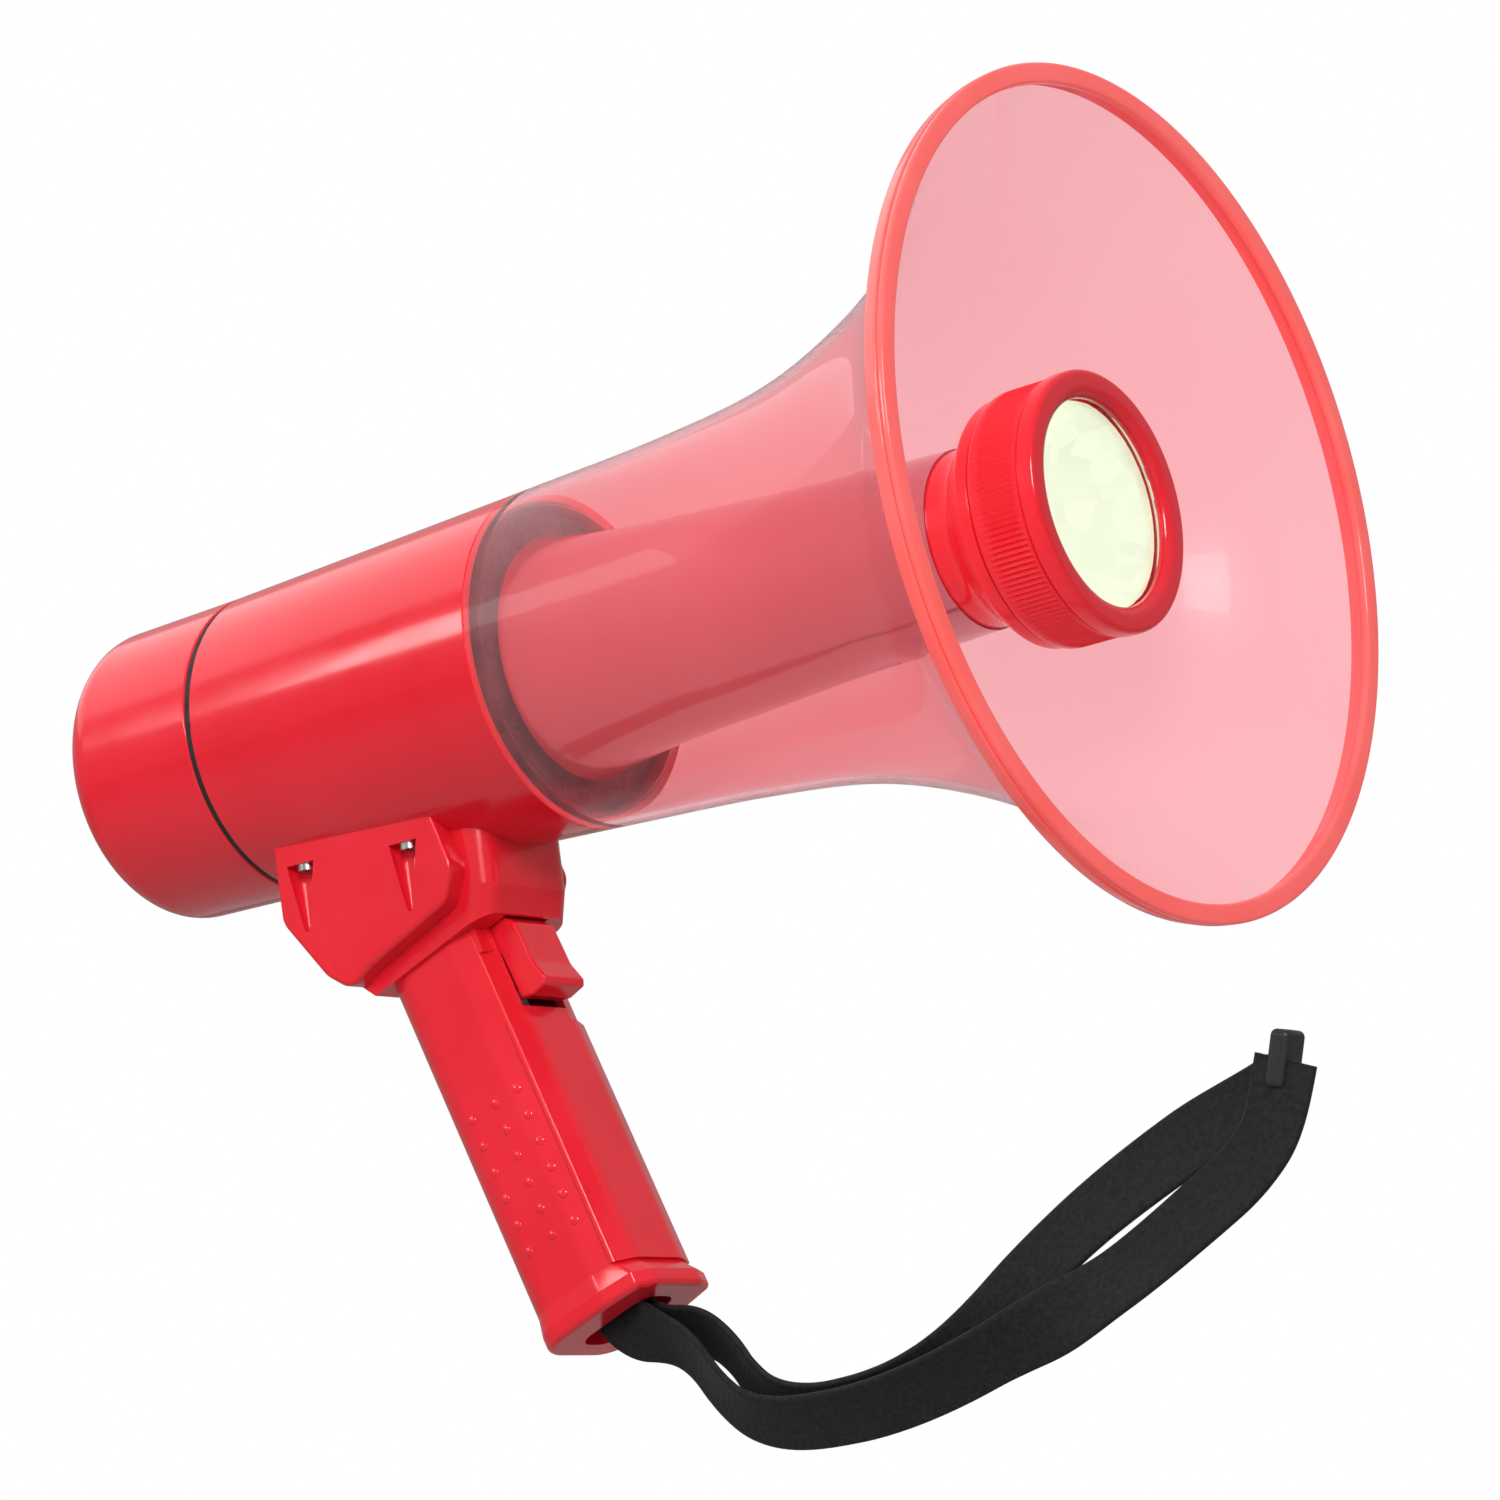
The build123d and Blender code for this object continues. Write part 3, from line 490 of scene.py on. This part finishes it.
def lathe(name, profile, slot, node, body="root", steps=ROUND_STEPS, depth=None):
    """A closed profile in mm, (x from the mouth, radius), turned about the horn's axis.

    depth(x, radius, angle) is how much lower the radius is there, for ribs."""
    vertices, faces = [], []
    count = len(profile)
    for k in range(steps):
        angle = 2 * math.pi * k / steps
        for x, r in profile:
            r -= depth(x, r, angle) if depth else 0
            vertices.append(horn_point(x, r, angle))
    for k in range(steps):
        low, high = k * count, (k + 1) % steps * count
        for i in range(count):
            n = (i + 1) % count
            faces.append((low + i, high + i, high + n, low + n))
    piece = new_piece(name, vertices, faces, slot, body, replaces=[node])
    faces_out(piece)
    return piece


def faces_out(piece):
    shape = bmesh.new()
    shape.from_mesh(piece.data)
    bmesh.ops.recalc_face_normals(shape, faces=shape.faces)
    shape.to_mesh(piece.data)
    shape.free()


# ---- the clear horn ---------------------------------------------------------------------------------
JOINT_X, BARREL_FRONT_R = -165.0, 42.3
BELL_OUTSIDE = [(JOINT_X, BARREL_FRONT_R), (-120, 44.6), (-85, 48.9), (-55, 58.6), (-30, 71.6), (-14, 85.6),
                (-2, 97.2)]
BELL_WALL = 2.0
SPIGOT_BACK, SPIGOT_R, SPIGOT_BORE = -168.3, 39.4, 38.2
# The rim's section, (x, radius, rounding): a tapered skirt, a narrow groove and a round front bead.
RIM_SECTION = [(-6.0, 96.6, 0.3), (-6.0, 98.6, 0.6), (-2.3, 99.8, 0.5), (-1.9, 98.8, 0.25),
               (-1.5, 99.8, 0.3), (0.0, 100.0, 0.9), (0.0, 95.0, 0.9), (-1.9, 95.0, 0.4), (-2.4, 96.4, 0.2)]
RIM_STEPS = 256


def make_bell():
    outside = through(BELL_OUTSIDE, 14)
    inside = wall_inside(outside, BELL_WALL)[::-1]
    spigot = [(JOINT_X + BELL_WALL, SPIGOT_BORE), (SPIGOT_BACK, SPIGOT_BORE), (SPIGOT_BACK, SPIGOT_R),
              (JOINT_X, SPIGOT_R)]
    bell = lathe("bell_shell", outside + inside[:-1] + spigot, "clear_red", "horn_bell")
    bell.visible_shadow = False
    smooth(bell, 40)


def make_rim():
    rim = lathe("rim_ring", rounded(RIM_SECTION), "rim_red", "horn_rim", steps=RIM_STEPS)
    smooth(rim, 50)


# ---- the torch in the mouth -------------------------------------------------------------------------
RIBS, RIB_STEPS, RIB_DEPTH = 140, 6, 0.55
RIB_BACK, RIB_FRONT, RIB_R = -25.8, -15.0, 30.4
RIB_FADE, RIB_ROWS = 0.8, 14
BEZEL_BORE, RIB_FLOOR = 27.05, 29.0     # no rib is cut inside the floor's radius
DISH_RINGS = [(-15.6, 24.6), (-17.0, 23.3), (-19.2, 21.4), (-21.8, 19.0), (-24.2, 16.4), (-26.4, 13.6),
              (-28.4, 10.6), (-29.9, 7.8), (-30.6, 5.1)]
DISH_FACETS, DISH_DENT = 40, 0.35


def rib_depth(x, r, angle):
    """How far a rib's valley cuts in, fading out at both ends of the ribbed band."""
    if r < RIB_FLOOR or not RIB_BACK <= x <= RIB_FRONT:
        return 0
    fade = min(1, (x - RIB_BACK) / RIB_FADE, (RIB_FRONT - x) / RIB_FADE)
    return RIB_DEPTH * fade * (0.5 - 0.5 * math.cos(RIBS * angle)) ** 0.7


def make_bezel():
    """The bezel: a ribbed band between a rounded back and a plain front ring with a lip over the lens."""
    band = [RIB_BACK + (RIB_FRONT - RIB_BACK) * i / RIB_ROWS for i in range(RIB_ROWS + 1)]
    back = rounded([(-28.0, BEZEL_BORE, 0), (-28.0, RIB_R, 1.3), (-26.6, RIB_R, 0)])
    front = rounded([(-14.6, RIB_R, 0.2), (-14.2, 29.9, 0.2), (-13.7, 30.9, 0.3), (-9.5, 30.9, 1.5),
                     (-9.5, 26.0, 1.2), (-11.0, 24.4, 0.6), (-12.5, 24.4, 0.2), (-12.5, BEZEL_BORE, 0)])
    profile = back + [(x, RIB_R) for x in band] + front
    bezel = lathe("bezel_ring", profile, "red_gloss", "torch_bezel", body="torch_bezel",
                  steps=RIBS * RIB_STEPS, depth=rib_depth)
    smooth(bezel, 45)


def make_reflector():
    """A faceted dish round the LED."""
    draw = random.Random(7)
    vertices, faces = [], []
    for k, (x, r) in enumerate(DISH_RINGS):
        for j in range(DISH_FACETS):
            turn = 2 * math.pi * (j + 0.5 * (k % 2)) / DISH_FACETS
            dent = draw.uniform(0, DISH_DENT) if 0 < k < len(DISH_RINGS) - 1 else 0
            vertices.append(horn_point(x + dent, r, turn))
    for k in range(len(DISH_RINGS) - 1):
        low, high = k * DISH_FACETS, (k + 1) * DISH_FACETS
        for j in range(DISH_FACETS):
            n = (j + 1) % DISH_FACETS
            a, b, c, d = low + j, low + n, high + n, high + j
            faces += [(a, b, d), (b, c, d)] if k % 2 else [(a, b, c), (a, c, d)]
    dish = new_piece("reflector_dish", vertices, faces, "mirror_coat", replaces=["torch_reflector"])
    faces_out(dish)


# ---- the grip's raised dots ---------------------------------------------------------------------------
GRIP_SIDE, SIDE_END, SIDE_FALL = 15.6, 6.5, 0.266   # past its end the flat side falls gently to the ridge
DOT_COLUMNS = (-7.0, 1.0, 8.3)
DOT_ROWS, DOT_TOP, DOT_PITCH = 6, 8.7, 7.2
DOT_R, DOT_HEIGHT, DOT_SUNK = 1.25, 0.55, 0.1
DOT_RINGS, DOT_STEPS = 5, 20


def grip_point(x, y, z):
    """A point in the grip's own raked frame, in mm, as a row-frame point in metres."""
    c, s = math.cos(RAKE), math.sin(RAKE)
    return (MM * (x * c - z * s), MM * y, MM * (x * s + z * c))


def side_at(x):
    """Half the grip's width at x in the grip's frame, in mm."""
    return GRIP_SIDE - SIDE_FALL * max(0.0, x - SIDE_END)


def make_dots(name, side):
    """Three columns of low domes on one side of the grip, their edges a little below its surface."""
    vertices, faces = [], []
    for x in DOT_COLUMNS:
        for row in range(DOT_ROWS):
            z = DOT_TOP - DOT_PITCH * row
            first = len(vertices)
            for k in range(DOT_RINGS):
                lift = math.pi / 2 * k / DOT_RINGS
                r, h = DOT_R * math.cos(lift), DOT_HEIGHT * math.sin(lift) - DOT_SUNK
                for j in range(DOT_STEPS):
                    turn = 2 * math.pi * j / DOT_STEPS
                    dot_x = x + r * math.cos(turn)
                    vertices.append(grip_point(dot_x, side * (side_at(dot_x) + h), z + r * math.sin(turn)))
                    n = (j + 1) % DOT_STEPS
                    if k:
                        low, high = first + (k - 1) * DOT_STEPS, first + k * DOT_STEPS
                        faces.append((low + j, low + n, high + n, high + j))
            vertices.append(grip_point(x, side * (side_at(x) + DOT_HEIGHT - DOT_SUNK), z))
            top, tip = first + (DOT_RINGS - 1) * DOT_STEPS, len(vertices) - 1
            faces += [(top + j, top + (j + 1) % DOT_STEPS, tip) for j in range(DOT_STEPS)]
    dots = new_piece(name, vertices, faces, "red_gloss")
    faces_out(dots)
    smooth(dots, 60)


# ---- the wrist strap, two free bands of one loop --------------------------------------------------------
STRAP_WIDTH, STRAP_THICKNESS, STRAP_OFFSET = 0.016, 0.0016, 0.0023
HEM, HEM_STEP, HEM_ROUND = 0.0011, 0.0005, 0.0002
FLAT, SHOULDER = 0.8, 0.75              # shares of the hem's thickness, between the hems and at the edges
# Points of the two bands' routes, (x, z), the same as the CAD's.
NEAR_ROUTE = [(0.0158, -0.0414), (0.0192, -0.0488), (0.0285, -0.0520), (0.0370, -0.0576), (0.0445, -0.0665),
              (0.0540, -0.0738), (0.0680, -0.0772), (0.0880, -0.0774), (0.1180, -0.0702), (0.1470, -0.0602),
              (0.1710, -0.0502), (0.1920, -0.0402), (0.2030, -0.0318), (0.2076, -0.0205)]
FAR_ROUTE = [(0.0158, -0.0414), (0.0194, -0.0490), (0.0288, -0.0514), (0.0382, -0.0528), (0.0440, -0.0595),
             (0.0478, -0.0685), (0.0560, -0.0752), (0.0700, -0.0776), (0.0900, -0.0763), (0.1130, -0.0690),
             (0.1340, -0.0555), (0.1570, -0.0432), (0.1800, -0.0334), (0.2030, -0.0252)]


def spline_points(name, route, y):
    """The points of the route's NURBS spline."""
    curve = bpy.data.curves.new(name, "CURVE")
    curve.dimensions = "3D"
    curve.resolution_u = 16             # divisions of each span
    spline = curve.splines.new("NURBS")
    spline.points.add(len(route) - 1)
    for point, (x, z) in zip(spline.points, route):
        point.co = (x, y, z, 1)
    spline.order_u = 3
    spline.use_endpoint_u = True
    holder = bpy.data.objects.new(name, curve)
    bpy.context.scene.collection.objects.link(holder)
    bpy.context.view_layer.update()
    mesh = bpy.data.meshes.new_from_object(holder)
    points = [v.co.copy() for v in mesh.vertices]
    bpy.data.objects.remove(holder)
    bpy.data.meshes.remove(mesh)
    return points


def key_value(keys, t):
    """A smooth value at t from (t, value) keys."""
    for (t0, v0), (t1, v1) in zip(keys, keys[1:]):
        if t <= t1:
            u = (t - t0) / (t1 - t0)
            return v0 + (v1 - v0) * u * u * (3 - 2 * u)
    return keys[-1][1]


def band_section():
    """The webbing's cross-section, (across, out), with a thicker hem along both edges."""
    half, thick = STRAP_WIDTH / 2, STRAP_THICKNESS / 2
    left = [(-half, 0), (-half + HEM_ROUND, thick * SHOULDER), (-half + HEM, thick),
            (-half + HEM + HEM_STEP, thick * FLAT)]
    top = left + [(0, thick * FLAT)] + [(-w, t) for w, t in left[::-1]]
    return top + [(w, -t) for w, t in top[-2:0:-1]]


def running_length(points):
    """How far along the line each of its points is."""
    lengths = [0.0]
    for a, b in zip(points, points[1:]):
        lengths.append(lengths[-1] + math.dist(a, b))
    return lengths


def make_band(name, route, y, twists, shifts, node):
    """A flat webbing band along the route, turned about its line by the twists, moved off it by the shifts.

    Both are keys of (share of the length, value): degrees, and mm towards the band's upper edge."""
    points = spline_points(name + "_route", route, y)
    lengths = running_length(points)
    section = band_section()
    count = len(section)
    vertices, faces = [], []
    for i, point in enumerate(points):
        ahead = points[min(i + 1, len(points) - 1)] - points[max(i - 1, 0)]
        along = ahead.normalized()
        share = lengths[i] / lengths[-1]
        angle = math.radians(key_value(twists, share))
        flat = along.cross(Vector((0, 1, 0))).normalized()
        across = math.cos(angle) * flat + math.sin(angle) * Vector((0, 1, 0))
        out = across.cross(along)
        centre = point + flat * key_value(shifts, share) * MM
        vertices += [centre + across * w + out * t for w, t in section]
        if i:
            for k in range(count):
                n = (k + 1) % count
                low, high = (i - 1) * count, i * count
                faces.append((low + k, low + n, high + n, high + k))
    faces.append(tuple(range(count))[::-1])
    faces.append(tuple(len(vertices) - count + k for k in range(count)))
    piece = new_piece(name, vertices, faces, "strap_webbing", replaces=[node])
    layer = piece.data.uv_layers.new(name="weave")
    around = running_length(section)
    for loop in piece.data.loops:
        ring, k = divmod(loop.vertex_index, count)
        layer.data[loop.index].uv = (lengths[ring], around[k])
    smooth(piece, 60)


make_band("near_band", NEAR_ROUTE, -STRAP_OFFSET,
          [(0, 0), (0.1, -40), (0.52, -42), (0.7, 14), (0.86, 10), (1, 0)],
          [(0, 0), (0.1, 0), (0.22, -2.6), (0.35, -1.5), (0.5, -2.2), (0.7, -3.9), (0.86, -3.0), (1, 0)],
          "strap_near_band")
make_band("far_band", FAR_ROUTE, STRAP_OFFSET,
          [(0, 0), (0.1, -40), (0.42, -44), (0.7, 12), (0.86, 8), (1, 0)],
          [(0, 0), (0.1, 0), (0.22, 2.6), (0.35, 1.0), (0.5, 0.4), (0.7, 2.6), (0.86, 2.0), (1, 0)],
          "strap_far_band")
make_bell()
make_rim()
make_bezel()
make_reflector()
make_dots("dots_near", -1)
make_dots("dots_far", 1)
dress_cad_nodes()
